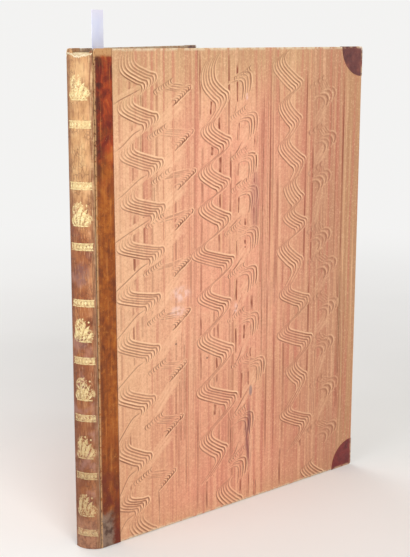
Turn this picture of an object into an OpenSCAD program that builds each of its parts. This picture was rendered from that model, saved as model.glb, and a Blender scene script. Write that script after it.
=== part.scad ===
// Large antique book in half leather with combed paste-paper sides, standing on its tail.
// Frame: x runs from the joints to the fore-edge, y through the thickness with the front
// cover at -y, z from tail to head. The origin lies at the foot of the spine, in the plane
// of the two joints.

/* [Book] */
// Height of the boards
board_h = 575; // [500:5:640]
// Width of the boards, from the joint to the fore-edge
board_w = 428; // [380:2:460]
// Thickness of the closed book
book_t = 31; // [28:0.5:40]
// Angle at which the front cover stands open
open_angle = 31.5; // [5:0.5:90]

/* [Covers] */
// Thickness of the pasteboard
board_t = 3.6; // [3:0.1:4.5]
// Thickness of the leather
leather_t = 0.9; // [0.6:0.1:1.2]
// Thickness of the paper on the sides
paper_t = 0.5; // [0.3:0.1:0.5]
// Thickness of the pastedown and of what is turned in beside it
liner_t = 0.3; // [0.2:0.05:0.4]
// Width of the leather strip along the joint, at the head
strip_head_w = 24.5; // [20:0.5:32]
// Width of that strip at the tail, where the paper was laid further off
strip_tail_w = 27.5; // [20:0.5:32]
// Radius of the leather corners
corner_r = 38; // [28:1:48]
// Radius to which the tips of the boards are worn
tip_r = 3; // [2:0.5:6]
// Radius to which the head corners beside the joints are worn
bump_r = 5; // [2:0.5:6]
// Width of the turn-ins left in sight round the pastedown
turn_in = 6; // [4:0.5:12]

/* [Pages] */
// Distance by which the boards stand out past the pages
square_w = 4; // [3:0.5:8]
// Clearance between the pages and a closed cover
closing_gap = 0.4; // [0.4:0.1:1]
// Rise of the rounded back of the pages
back_rise = 2.5; // [1.5:0.1:3]
// Depth of the hollow along the fore-edge of the pages
fore_edge_dip = 2.2; // [1:0.1:4]
// Number of sewing cords
cord_count = 5; // [4:1:8]
// Diameter of a sewing cord
cord_d = 2.2; // [1.6:0.2:3]

/* [Spine] */
// Rise of the spine leather over the joints
spine_rise = 5.2; // [4.8:0.1:6.5]
// Width of the open joint between the spine and a board
joint_gap = 0.7; // [0.6:0.1:2]
// Clearance between the spine and the line on which a cover turns
turn_gap = 0.3; // [0.3:0.05:0.5]
// Wall of the hollow tube
tube_wall = 0.5; // [0.3:0.1:0.6]
// Depth of the head of the hollow tube under the head of the boards
tube_drop = 4.5; // [4:0.5:12]
// Height of a gilt band over both fillets
band_h = 8.4; // [7:0.2:10]
// Height of the gilt fleurons
fleuron_h = 28; // [22:1:32]

/* [Paste paper] */
// Teeth of the comb
comb_teeth = 6; // [3:1:6]
// Sideways step from one tooth to the next
tooth_step = 3.4; // [3:0.1:3.8]
// Width of the ridge left between two teeth
ridge_w = 1.2; // [0.8:0.1:1.6]
// Height of the paste ridges
ridge_h = 0.15; // [0.1:0.05:0.25]
// Height of the bend in which a tooth comes into a wave
bend_h = 14; // [10:0.5:16]
// Depth of the hook in which it leaves the wave
hook_h = 7; // [5:0.5:9]
// Width of a brush streak
streak_w = 1.6; // [0.8:0.1:2.4]

/* [Marker slip] */
// Width of the slip
slip_w = 32; // [16:1:40]
// Length of the slip
slip_len = 150; // [100:5:200]
// Height by which the slip stands over the boards
slip_out = 41; // [20:1:60]
// Thickness of the slip
slip_t = 0.25; // [0.2:0.05:0.4]

/* [Hidden] */
$fn = 96;
tiny = 0.01;

// Positions through the thickness, on the side of the front cover
outer_y = -book_t / 2;
board_y = outer_y + leather_t;
liner_y = board_y + board_t;
page_y = liner_y + liner_t + closing_gap;
page_t = -2 * page_y;

// The pages
page_x = 0.8;
page_end = board_w - square_w;
page_z = square_w;
page_h = board_h - 2 * square_w;
back_r = arc_radius(page_t / 2, back_rise);
back_x = page_x - back_rise + back_r;
dip_r = arc_radius(page_t / 2, fore_edge_dip);

// The spine leather: an arc through both joints and over the rise
spine_half = book_t / 2 - turn_gap;
spine_r = arc_radius(spine_half, spine_rise);
spine_x = spine_r - spine_rise;
cap_reach = joint_gap - 0.4;
gilt_t = 0.12;
gilt_half = 0.84 * book_t / 2;

// The gilding lies on the leather in flats, one for each lozenge of the roll
roll_count = 7;
flat_angle = 2 * asin(gilt_half / spine_r) / roll_count;
fillet_h = 0.8;
// Heights over the tail at which the tooling lies on a book of 575
bands_at = [20, 90, 160, 228, 295, 359, 427, 494];
fleurons_at = [54, 125, 195, 264, 396, 534];
// Head of the torn spine: place across the spine, then depth under the head of the boards
torn_edge = [
    [1, 8], [0.93, 4.5], [0.8, 2], [0.65, 0.6], [0.52, 0.6], [0.46, 2.6], [0.38, 6.8], [0.2, 7.8],
    [0.05, 7], [-0.1, 8.2], [-0.25, 7], [-0.45, 6.2], [-0.6, 6.6], [-0.75, 5], [-0.88, 2.6],
    [-1, 2]
];

// The pattern is laid out on a side of 428 by 575, and its places follow the board's size
side_x = board_w / 428;
side_z = board_h / 575;
// Waves of each combed column: left turn of the lowest tooth, from the joint and under the
// head, then the run to its right turn
wave_columns = [
    [
        [35, 23, 36, 21], [33, 75, 38, 15], [35, 122, 38, 22], [39, 172, 35, 20],
        [30, 222, 41, 21], [28, 281, 39, 14], [29, 345, 40, 12], [30, 404, 33, 11],
        [28, 468, 28, 17], [29, 532, 27, 6], [43, 563, 20, 8]
    ],
    [
        [153, 41, 25, 28], [152, 105, 29, 14], [149, 156, 32, 11], [151, 200, 36, 12],
        [140, 248, 44, 17], [150, 304, 31, 13], [147, 356, 37, 20], [151, 415, 41, 22],
        [150, 482, 25, 27], [179, 555, 33, 16]
    ],
    [
        [266, 26, 31, 26], [277, 75, 24, 20], [280, 122, 30, 27], [288, 181, 17, 13],
        [291, 217, 17, 15], [280, 263, 24, 18], [287, 313, 31, 15], [286, 369, 41, 15],
        [299, 422, 17, 15], [290, 477, 37, 21], [333, 560, 20, 10]
    ]
];
tooth_move = [tooth_step, -0.92 * tooth_step];
// Brush streaks beside the columns: place from the joint, then both ends under the head
streaks_at = [
    [97, 90, 330], [111, 60, 280], [118, 380, 540], [124, 300, 470], [131, 350, 540],
    [137, 4, 240], [211, 18, 72], [211, 88, 116], [211, 130, 162], [211, 172, 200],
    [211, 206, 258], [213, 268, 330], [219, 300, 352], [219, 520, 548], [226, 110, 260],
    [234, 324, 362], [233, 380, 420], [232, 486, 522], [232, 536, 572], [240, 86, 220],
    [245, 540, 572], [250, 290, 400], [257, 60, 520], [263, 20, 290], [272, 200, 330],
    [338, 120, 286], [350, 280, 535], [371, 20, 150], [376, 300, 420], [384, 20, 290],
    [394, 30, 287], [392, 295, 440], [399, 290, 520], [405, 300, 520]
];

function arc_radius(half, rise) = (half * half + rise * rise) / (2 * rise);

// Point of a curve that bends from a to c towards b
function bend(a, b, c, t) = (1 - t) * (1 - t) * a + 2 * t * (1 - t) * b + t * t * c;

// Direction across that curve
function across(a, b, c, t) =
    let (d = (1 - t) * (b - a) + t * (c - b))
    [-d[1], d[0]] / norm(d);

// Outline of a plume that swells to width w between a root and a tip
function plume(a, b, c, w) = concat(
    [for (t = [0, 0.3, 0.6, 0.85]) bend(a, b, c, t) + across(a, b, c, t) * w / 2 * sin(180 * t)],
    [for (t = [1, 0.85, 0.6, 0.3]) bend(a, b, c, t) - across(a, b, c, t) * w / 2 * sin(180 * t)]
);

// Outline of a board, drawn in by an inset, with the two tips at the fore-edge worn round
function board_outline(inset) =
    let (r = tip_r - inset, x = board_w - tip_r)
    concat(
        [[joint_gap, inset]],
        [for (a = [-90:30:0]) [x + r * cos(a), tip_r + r * sin(a)]],
        [for (a = [0:30:90]) [x + r * cos(a), board_h - tip_r + r * sin(a)]],
        [[joint_gap, board_h - inset]]
    );

// Left and right turn of the lowest tooth in a wave
function left_turn(wave) = [wave[0] * side_x, wave[1] * side_z];
function right_turn(wave) = left_turn(wave) + [wave[2] * side_x, wave[3] * side_z];

// Where a tooth comes into a wave and where it leaves it
function wave_start(wave) = left_turn(wave) + [0.55 * bend_h, -bend_h];
function wave_end(wave) = right_turn(wave) + [-0.5 * hook_h, hook_h];

// Outline of one comb ridge: it swings in, runs down to the right and hooks back
function ridge(wave) =
    let (w = 0.36 * ridge_w)
    [
        wave_start(wave), left_turn(wave) + [w, -w], right_turn(wave) + [w, -w],
        wave_end(wave), right_turn(wave) - [w, -w], left_turn(wave) - [w, -w]
    ];

// Outline of the thin line that the gathered teeth leave from one wave to the next
function return_line(wave, next) =
    let (t = [0, ridge_w / 4], clear = [-0.8, 0.7])
    [
        wave_end(wave) + clear - t, wave_end(wave) + clear + t,
        wave_start(next) - clear + t, wave_start(next) - clear - t
    ];

// Point of the line between strip and paper, at height z
function strip_edge(z) = [joint_gap + strip_tail_w + (strip_head_w - strip_tail_w) * z / board_h, z];

// Everything of the front cover, turned from closed to open about the front joint
module open_front() {
    translate([0, outer_y, 0])
        rotate([0, 0, -open_angle])
            translate([0, -outer_y, 0])
                children();
}

// The back cover is closed, as a mirror of the closed front
module closed_back() {
    mirror([0, 1, 0])
        children();
}

// A flat shape drawn in x and z, from y to y + t
module upright(y, t) {
    translate([0, y + t, 0])
        rotate([90, 0, 0])
            linear_extrude(t)
                children();
}

// A flat shape drawn in -y and z, looking at the spine, from x to x + t
module on_spine(x, t) {
    translate([x, 0, 0])
        rotate([90, 0, -90])
            mirror([0, 0, 1])
                linear_extrude(t)
                    children();
}

// Skin of a board, with the part turned over its edges and round the pastedown
module covering(t) {
    difference() {
        upright(board_y - t, t + board_t + liner_t)
            polygon(board_outline(leather_t - t));
        board();
        upright(liner_y, liner_t + 1)
            translate([0, turn_in])
                square([board_w - turn_in, board_h - 2 * turn_in]);
    }
}

module board() {
    worn()
        upright(board_y, board_t)
            polygon(board_outline(leather_t));
}

// A part of a cover, without what is worn away from its head corner at the joint
module worn() {
    difference() {
        children();
        upright(outer_y - 1, book_t)
            translate([joint_gap - 1, board_h - bump_r])
                difference() {
                    square(bump_r + 2);
                    translate([bump_r + 1, 0])
                        circle(bump_r);
                    translate([bump_r + 1, -1])
                        square(bump_r + 4);
                }
    }
}

module strip_region() {
    upright(outer_y - 1, book_t)
        polygon([
            [joint_gap - 1, -1], strip_edge(-1),
            strip_edge(board_h + 1), [joint_gap - 1, board_h + 1]
        ]);
}

module corner_region(z) {
    translate([board_w, outer_y - 1, z])
        rotate([-90, 0, 0])
            cylinder(r = corner_r, h = book_t);
}

module strip() {
    worn()
        intersection() {
            covering(leather_t);
            strip_region();
        }
}

module corner(z) {
    intersection() {
        covering(leather_t);
        corner_region(z);
    }
}

module paper() {
    difference() {
        covering(paper_t);
        strip_region();
        corner_region(0);
        corner_region(board_h);
    }
}

module pastedown() {
    worn()
        upright(liner_y, liner_t)
            translate([joint_gap, turn_in])
                square([board_w - turn_in - joint_gap, board_h - 2 * turn_in]);
}

// What stands on the paper: a flat shape drawn from the joint and down from the head
module on_paper() {
    upright(board_y - paper_t - ridge_h, ridge_h)
        intersection() {
            translate([0, board_h])
                mirror([0, 1])
                    children();
            translate([1, 0])
                polygon([
                    strip_edge(leather_t), [board_w - 2, leather_t],
                    [board_w - 2, board_h - leather_t], strip_edge(board_h - leather_t)
                ]);
        }
}

// Ridges that the comb left as it was drawn down each column in waves
module waves() {
    on_paper()
        for (column = wave_columns) wave_column(column);
}

module wave_column(column) {
    for (wave = column, gap = [0:comb_teeth - 2])
        translate(gap * tooth_move)
            polygon(ridge(wave));
    for (i = [0:len(column) - 2])
        polygon(return_line(column[i], column[i + 1]));
}

module streaks() {
    on_paper()
        for (streak = streaks_at)
            translate([streak[0] * side_x - streak_w / 2, streak[1] * side_z])
                square([streak_w, (streak[2] - streak[1]) * side_z]);
}

// Half of a ring about the axis of the spine arc, from radius r to r + t, on the spine side
module spine_ring(r, t, half) {
    intersection() {
        translate([spine_x, 0])
            difference() {
                circle(r + t);
                circle(r);
            }
        translate([-spine_rise - 1, -half])
            square([spine_rise + 1, 2 * half]);
    }
}

// Corner of the gilt flats at radius r, counted across the spine
function flat_corner(r, i) =
    let (a = (i - roll_count / 2) * flat_angle)
    [spine_x - r * cos(a), r * sin(a)];

// Place of that corner across the spine
function flat_edge(i) = flat_corner(spine_r, i)[1];

// A thin gilt layer on the spine, cut to the shape of its children
module gilt() {
    r = spine_r / cos(flat_angle / 2);
    intersection() {
        linear_extrude(board_h)
            polygon(concat(
                [for (i = [0:roll_count]) flat_corner(r, i)],
                [for (i = [roll_count:-1:0]) flat_corner(r + gilt_t, i)]
            ));
        on_spine(-spine_rise - 1, spine_rise + 1)
            children();
    }
}

module text_block() {
    color([0.86, 0.79, 0.64])
        difference() {
            translate([0, 0, page_z])
                linear_extrude(page_h)
                    difference() {
                        union() {
                            translate([page_x, -page_t / 2])
                                square([page_end - page_x, page_t]);
                            intersection() {
                                translate([back_x, 0])
                                    circle(back_r);
                                translate([page_x - back_rise - 1, -page_t / 2])
                                    square([back_rise + 2, page_t]);
                            }
                        }
                        translate([page_end - fore_edge_dip + dip_r, 0])
                            circle(dip_r);
                    }
            cords();
            slip();
        }
}

module cords() {
    for (i = [1:cord_count])
        translate([page_x + 0.5 + cord_d / 2, page_t / 2, page_z + i * page_h / (cord_count + 1)])
            rotate([90, 0, 0])
                cylinder(d = cord_d, h = page_t);
}

module sewing_cords() {
    color([0.74, 0.66, 0.5])
        cords();
}

// Paper tube glued to the back of the pages and to the inside of the leather
module hollow_tube() {
    half = page_t / 2 - tiny;
    color([0.8, 0.74, 0.62])
        translate([0, 0, page_z])
            linear_extrude(board_h - tube_drop - page_z)
                intersection() {
                    difference() {
                        translate([spine_x, 0])
                            circle(spine_r - leather_t);
                        translate([back_x, 0])
                            circle(back_r);
                        difference() {
                            translate([spine_x, -half + tube_wall])
                                mirror([1, 0])
                                    square([spine_r, 2 * (half - tube_wall)]);
                            translate([back_x, 0])
                                circle(back_r + tube_wall);
                            difference() {
                                translate([spine_x - spine_r - 1, -book_t])
                                    square([spine_r + 1, 2 * book_t]);
                                translate([spine_x, 0])
                                    circle(spine_r - leather_t - tube_wall);
                            }
                        }
                    }
                    translate([-spine_rise - 1, -half])
                        square([spine_rise + 1 + page_x, 2 * half]);
                }
}

// Worked tail band, flat where it meets the pages and the cap
module tail_band() {
    rise = page_z - leather_t;
    color([0.55, 0.4, 0.3])
        intersection() {
            translate([page_x + 0.4, page_t / 2 - 0.6, leather_t + rise / 2])
                rotate([90, 0, 0])
                    cylinder(d = 1.2 * rise, h = page_t - 1.2);
            translate([page_x - rise, -page_t / 2, leather_t])
                cube([2 * rise, page_t, rise]);
        }
}

module spine_leather() {
    color([0.68, 0.44, 0.28])
        union() {
            difference() {
                linear_extrude(board_h)
                    spine_ring(spine_r - leather_t, leather_t, spine_half);
                on_spine(-spine_rise - 1, spine_rise + 2)
                    torn_head();
            }
            linear_extrude(leather_t)
                union() {
                    spine_segment();
                    translate([-tiny, 1 - spine_half])
                        square([cap_reach + tiny, 2 * spine_half - 2]);
                }
        }
}

// Area inside the spine arc
module spine_segment() {
    intersection() {
        translate([spine_x, 0])
            circle(spine_r - leather_t / 2);
        translate([-spine_rise - 1, -spine_half])
            square([spine_rise + 1, 2 * spine_half]);
    }
}

// What the tear has taken from the head of the spine
module torn_head() {
    polygon(concat(
        [for (p = torn_edge) [-p[0] * spine_half, board_h - p[1]]],
        [[book_t, board_h - 3], [book_t, board_h + 5], [-book_t, board_h + 5], [-book_t, board_h - 8]]
    ));
}

// Bands of two fillets with a roll of lozenges between them
module spine_bands() {
    color([0.9, 0.78, 0.45])
        gilt()
            for (z = bands_at)
                translate([0, z * side_z])
                    band();
}

module band() {
    for (side = [-1, 1])
        translate([-gilt_half - 1, side * (band_h - fillet_h) / 2 - fillet_h / 2])
            square([2 * gilt_half + 2, fillet_h]);
    for (i = [0:roll_count - 1])
        translate([(flat_edge(i) + flat_edge(i + 1)) / 2, 0])
            lozenge(0.8 * (flat_edge(i + 1) - flat_edge(i)), 0.52 * band_h);
}

module lozenge(w, h) {
    polygon([[-w / 2, 0], [0, -h / 2], [w / 2, 0], [0, h / 2]]);
}

// One bunch of plumes in each compartment that carries a fleuron
module spine_fleurons() {
    color([0.9, 0.78, 0.45])
        gilt()
            for (z = fleurons_at)
                translate([0, z * side_z])
                    scale(fleuron_h / 28)
                        fleuron();
}

module fleuron() {
    translate([0, -14]) {
        translate([-9.5, 0])
            square([19, 1.2]);
        polygon(plume([-6, 0.8], [-11.5, 14], [-3.6, 26.8], 5));
        polygon(plume([-2.8, 0.8], [-4, 15.5], [3.4, 25], 4.8));
        polygon(plume([0.6, 0.8], [1.6, 13], [7.8, 19.4], 4.4));
        polygon(plume([3.8, 0.8], [8, 6], [9.8, 12.6], 3.6));
        polygon(plume([-7.4, 0.8], [-11.8, 3], [-10.8, 10], 2.6));
        translate([0.2, 26.6])
            lozenge(2.4, 2.8);
        translate([6.8, 23.4])
            lozenge(2.4, 3);
    }
}

module slip() {
    translate([14, page_y + 1.5, board_h + slip_out - slip_len])
        cube([slip_w, slip_t, slip_len]);
}

module marker_slip() {
    color([0.93, 0.93, 0.97])
        slip();
}

module leather_colour() {
    color([0.5, 0.27, 0.2])
        children();
}

module paper_colour() {
    color([0.85, 0.68, 0.53])
        children();
}

module front_board() {
    color([0.6, 0.52, 0.42])
        open_front()
            board();
}

module front_strip() {
    leather_colour()
        open_front()
            strip();
}

module front_paper() {
    paper_colour()
        open_front()
            paper();
}

module front_head_corner() {
    leather_colour()
        open_front()
            corner(board_h);
}

module front_tail_corner() {
    leather_colour()
        open_front()
            corner(0);
}

module front_pastedown() {
    color([0.84, 0.77, 0.63])
        open_front()
            pastedown();
}

module front_waves() {
    paper_colour()
        open_front()
            waves();
}

module front_streaks() {
    paper_colour()
        open_front()
            streaks();
}

module back_board() {
    color([0.6, 0.52, 0.42])
        closed_back()
            board();
}

module back_strip() {
    leather_colour()
        closed_back()
            strip();
}

module back_paper() {
    paper_colour()
        closed_back()
            paper();
}

module back_head_corner() {
    leather_colour()
        closed_back()
            corner(board_h);
}

module back_tail_corner() {
    leather_colour()
        closed_back()
            corner(0);
}

module back_pastedown() {
    color([0.84, 0.77, 0.63])
        closed_back()
            pastedown();
}

module back_waves() {
    paper_colour()
        closed_back()
            waves();
}

module back_streaks() {
    paper_colour()
        closed_back()
            streaks();
}

text_block();
sewing_cords();
hollow_tube();
tail_band();
spine_leather();
spine_bands();
spine_fleurons();
marker_slip();
front_board();
front_strip();
front_paper();
front_head_corner();
front_tail_corner();
front_pastedown();
front_waves();
front_streaks();
back_board();
back_strip();
back_paper();
back_head_corner();
back_tail_corner();
back_pastedown();
back_waves();
back_streaks();
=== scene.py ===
import math
import random

import bpy
from mathutils import Matrix, Vector


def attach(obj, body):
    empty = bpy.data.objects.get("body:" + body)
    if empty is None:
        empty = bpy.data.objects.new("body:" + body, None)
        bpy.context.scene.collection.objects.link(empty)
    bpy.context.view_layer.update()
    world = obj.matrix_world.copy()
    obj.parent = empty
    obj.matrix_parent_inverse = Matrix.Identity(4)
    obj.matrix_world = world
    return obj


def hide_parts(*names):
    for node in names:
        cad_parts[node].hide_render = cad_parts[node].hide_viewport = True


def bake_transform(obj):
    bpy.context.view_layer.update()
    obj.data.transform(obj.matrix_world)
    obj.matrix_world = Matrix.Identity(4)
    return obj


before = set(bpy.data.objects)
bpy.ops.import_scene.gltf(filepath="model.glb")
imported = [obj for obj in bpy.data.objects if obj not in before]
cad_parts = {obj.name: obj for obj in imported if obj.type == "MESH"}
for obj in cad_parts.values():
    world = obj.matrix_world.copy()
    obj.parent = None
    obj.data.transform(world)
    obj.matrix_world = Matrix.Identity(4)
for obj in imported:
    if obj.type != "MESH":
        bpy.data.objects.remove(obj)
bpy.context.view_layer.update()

# Sizes, in metres
MM = 0.001
BOARD_H = 575 * MM
BOARD_W = 428 * MM
BOOK_T = 31 * MM
LEATHER_T = 0.9 * MM
PAPER_T = 0.5 * MM
STRIP_TAIL_END = 28.2 * MM
STRIP_HEAD_END = 25.2 * MM
SPINE_RISE = 5.2 * MM
SPINE_HALF = 15.2 * MM
SPINE_R = (SPINE_HALF ** 2 + SPINE_RISE ** 2) / (2 * SPINE_RISE)
SPINE_X = SPINE_R - SPINE_RISE
OPEN = math.radians(31.5)
HINGE_Y = -BOOK_T / 2
PAGE_Y = 10.3 * MM
LINER_Y = 10.7 * MM
PAPER_OUT = BOOK_T / 2 - LEATHER_T + PAPER_T

# Heights over the tail of the tools on the spine, in mm
FLEURON_HEIGHTS = (54, 125, 195, 264, 396, 534)
BAND_HEIGHTS = (20, 90, 160, 228, 295, 359, 427, 494)
# Marks on the front side: place from the joint and over the tail, then half width and half height
SCUFFS = ((0.121, 0.288, 0.02, 0.013), (0.116, 0.268, 0.016, 0.009), (0.209, 0.258, 0.005, 0.009),
          (0.225, 0.517, 0.003, 0.006))
SPOTS = ((0.114, 0.228, 0.0022, 0.0015), (0.163, 0.202, 0.0022, 0.0015))
INK = (0.2335, 0.09, 0.012, 0.066)
FADED_INK = (0.24, 0.39, 0.01, 0.05)
GREY_MARK = (0.236, 0.146, 0.0035, 0.009)
# The stain on the spine: its middle, and how far it reaches each way
STAIN = ((-0.004, 0.0, 0.329), (0.1, 0.012, 0.016))

COVERS = ("front", "back")


# Helpers for shapes
def turned(u, y, angle=OPEN):
    """A point (u, y) of the closed front cover, turned about the joint."""
    c, s = math.cos(angle), math.sin(angle)
    t = y - HINGE_Y
    return u * c + t * s, HINGE_Y - u * s + t * c


def front(u, y, z):
    """A point of the closed front cover, turned to where the open cover stands."""
    return (*turned(u, y), z)


def back(u, y, z):
    """The same point on the closed back cover."""
    return (u, -y, z)


def strip_end(z):
    """Where the leather strip ends and the paper begins, from the joint, at height z."""
    return STRIP_TAIL_END + (STRIP_HEAD_END - STRIP_TAIL_END) * z / BOARD_H


def add(name, data):
    """An object in the scene."""
    obj = bpy.data.objects.new(name, data)
    bpy.context.scene.collection.objects.link(obj)
    return obj


def make(name, verts, faces, material, body=None, smooth=True, values=None):
    """A mesh in the scene. values: what the comb did at each point."""
    mesh = bpy.data.meshes.new(name)
    mesh.from_pydata([tuple(v) for v in verts], [], faces)
    mesh.validate()
    mesh.update()
    obj = add(name, mesh)
    if smooth:
        mesh.polygons.foreach_set("use_smooth", [True] * len(mesh.polygons))
    if values is not None:
        comb = mesh.attributes.new("comb", "FLOAT", "POINT")
        comb.data.foreach_set("value", values)
    mesh.materials.append(material)
    if body:
        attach(obj, body)
    return obj


def grid_faces(rows, cols, start=0, flip=False):
    """Four-sided faces between rows of points."""
    faces = []
    for r in range(rows - 1):
        for c in range(cols - 1):
            a = start + r * cols + c
            q = (a, a + 1, a + cols + 1, a + cols)
            faces.append(q[::-1] if flip else q)
    return faces


def ring_faces(rings, count):
    """Four-sided faces between closed rings of points."""
    turns = [(i * count, k, (k + 1) % count) for i in range(rings) for k in range(count)]
    return [(at + a, at + b, at + b + count, at + a + count) for at, a, b in turns]


def spline(points, steps):
    """Uniform quadratic B-spline through the middles of the control polygon."""
    out = []
    for i in range(1, len(points) - 1):
        a = (points[i - 1] + points[i]) / 2
        b = points[i]
        c = (points[i] + points[i + 1]) / 2
        for s in range(steps):
            t = s / steps
            out.append(a * (1 - t) ** 2 + b * 2 * t * (1 - t) + c * t * t)
    out.append((points[-2] + points[-1]) / 2)
    return out


def rgba(colour):
    """Blender's value for a colour of red, green and blue from 0 to 255."""
    shares = (v / 255 for v in colour)
    return (*(v / 12.92 if v <= 0.04045 else ((v + 0.055) / 1.055) ** 2.4 for v in shares), 1.0)


# Helpers for materials
class Maker:
    """Builds the nodes of a material or of the world."""

    def __init__(self, owner):
        self.owner = owner
        owner.use_nodes = True
        self.tree = owner.node_tree
        self.tree.nodes.clear()

    def node(self, kind, values=(), **settings):
        """A new node. values: its inputs in their order, or by name."""
        n = self.tree.nodes.new(kind)
        for key, setting in settings.items():
            setattr(n, key, setting)
        for socket, value in values.items() if isinstance(values, dict) else enumerate(values):
            self.put(n.inputs[socket], value)
        return n

    def put(self, socket, value):
        """Links an input to another node's output, or sets it to a number or a colour."""
        if isinstance(value, bpy.types.NodeSocket):
            self.tree.links.new(value, socket)
        elif socket.type == "RGBA" and len(value) == 3:
            socket.default_value = rgba(value)
        else:
            socket.default_value = value

    def calc(self, op, *values, clamp=False):
        return self.node("ShaderNodeMath", values, operation=op, use_clamp=clamp).outputs[0]

    def fold(self, op, values):
        result = values[0]
        for value in values[1:]:
            result = self.calc(op, result, value)
        return result

    def times(self, *values):
        return self.fold("MULTIPLY", values)

    def plus(self, *values):
        return self.fold("ADD", values)

    def most(self, *values):
        return self.fold("MAXIMUM", values)

    def minus(self, a, b):
        return self.calc("SUBTRACT", a, b)

    def size(self, a):
        return self.calc("ABSOLUTE", a)

    def vec(self, op, a, b):
        return self.node("ShaderNodeVectorMath", (a, b), operation=op).outputs[0]

    def length(self, v):
        return self.node("ShaderNodeVectorMath", (v,), operation="LENGTH").outputs["Value"]

    def split(self, v):
        return tuple(self.node("ShaderNodeSeparateXYZ", (v,)).outputs)

    def join(self, *values):
        return self.node("ShaderNodeCombineXYZ", values).outputs[0]

    def place(self):
        return self.node("ShaderNodeTexCoord").outputs["Object"]

    def value(self, name):
        """What the mesh says at each point."""
        return self.node("ShaderNodeAttribute", attribute_name=name).outputs["Fac"]

    def board(self, side):
        """Coordinates of the closed front cover: from the joint, through the thickness, up."""
        p = self.place()
        if side == "back":
            return self.vec("MULTIPLY", p, (1, -1, 1))
        values = {"Vector": self.vec("SUBTRACT", p, (0, HINGE_Y, 0)), "Rotation": (0, 0, OPEN)}
        turn = self.node("ShaderNodeMapping", values, vector_type="POINT")
        return self.vec("ADD", turn.outputs[0], (0, HINGE_Y, 0))

    def noise(self, v, scale, detail=3.0, rough=0.5, distortion=0.0, drawn=None):
        """Noise from 0 to 1. drawn: how much each direction counts, where it is drawn out."""
        if drawn:
            v = self.vec("MULTIPLY", v, drawn)
        values = {"Vector": v, "Scale": scale, "Detail": detail, "Roughness": rough, "Distortion": distortion}
        return self.node("ShaderNodeTexNoise", values).outputs[0]

    def cells(self, v, scale, feature="F1"):
        n = self.node("ShaderNodeTexVoronoi", {"Vector": v, "Scale": scale}, feature=feature)
        return n.outputs["Distance"]

    def step(self, v, low, high, to_low=0.0, to_high=1.0):
        """Smooth step from low to high."""
        values = {"Value": v, "From Min": low, "From Max": high, "To Min": to_low, "To Max": to_high}
        return self.node("ShaderNodeMapRange", values, interpolation_type="SMOOTHSTEP").outputs[0]

    def ramp(self, v, *stops):
        """Colours along a value. stops: places from 0 to 1, each with its colour."""
        n = self.node("ShaderNodeValToRGB", (v,))
        e = n.color_ramp.elements
        while len(e) < len(stops):
            e.new(0.5)
        for element, (at, colour) in zip(e, stops):
            element.position = at
            element.color = rgba(colour)
        return n.outputs[0]

    def mix(self, f, a, b):
        values = {0: f, 6: a, 7: b}
        return self.node("ShaderNodeMix", values, data_type="RGBA", blend_type="MIX").outputs[2]

    def tint(self, target, *factors):
        """Draws the colour so far towards a target by the product of the factors."""
        self.colour = self.mix(self.times(*factors), self.colour, target)

    def fade(self, target, v, low, high, *factors):
        """Tints where a value has passed from low to high."""
        self.tint(target, self.step(v, low, high), *factors)

    def spot(self, v, centre, size, edge=0.5):
        """1 inside an ellipsoid about centre, 0 outside it."""
        return self.step(self.length(self.vec("DIVIDE", self.vec("SUBTRACT", v, centre), size)), 1.0, edge)

    def mark(self, p, x, z, wide, tall, edge=0.5):
        """1 inside an ellipse on the cover, 0 outside it."""
        return self.spot(p, (x, HINGE_Y, z), (wide, 0.1, tall), edge)

    def finish(self, roughness, height, distance, strength):
        """Gives the colour, roughness and relief to the shader."""
        values = {"Strength": strength, "Distance": distance, "Height": height}
        self.put(self.shader.inputs["Base Color"], self.colour)
        self.put(self.shader.inputs["Roughness"], roughness)
        self.put(self.shader.inputs["Normal"], self.node("ShaderNodeBump", values).outputs[0])
        return self.owner


def surface(name, specular):
    """A maker with the nodes that every material has."""
    m = Maker(bpy.data.materials.new(name))
    m.shader = m.node("ShaderNodeBsdfPrincipled", {"Specular IOR Level": specular})
    m.out = m.node("ShaderNodeOutputMaterial", (m.shader.outputs[0],))
    return m


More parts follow.
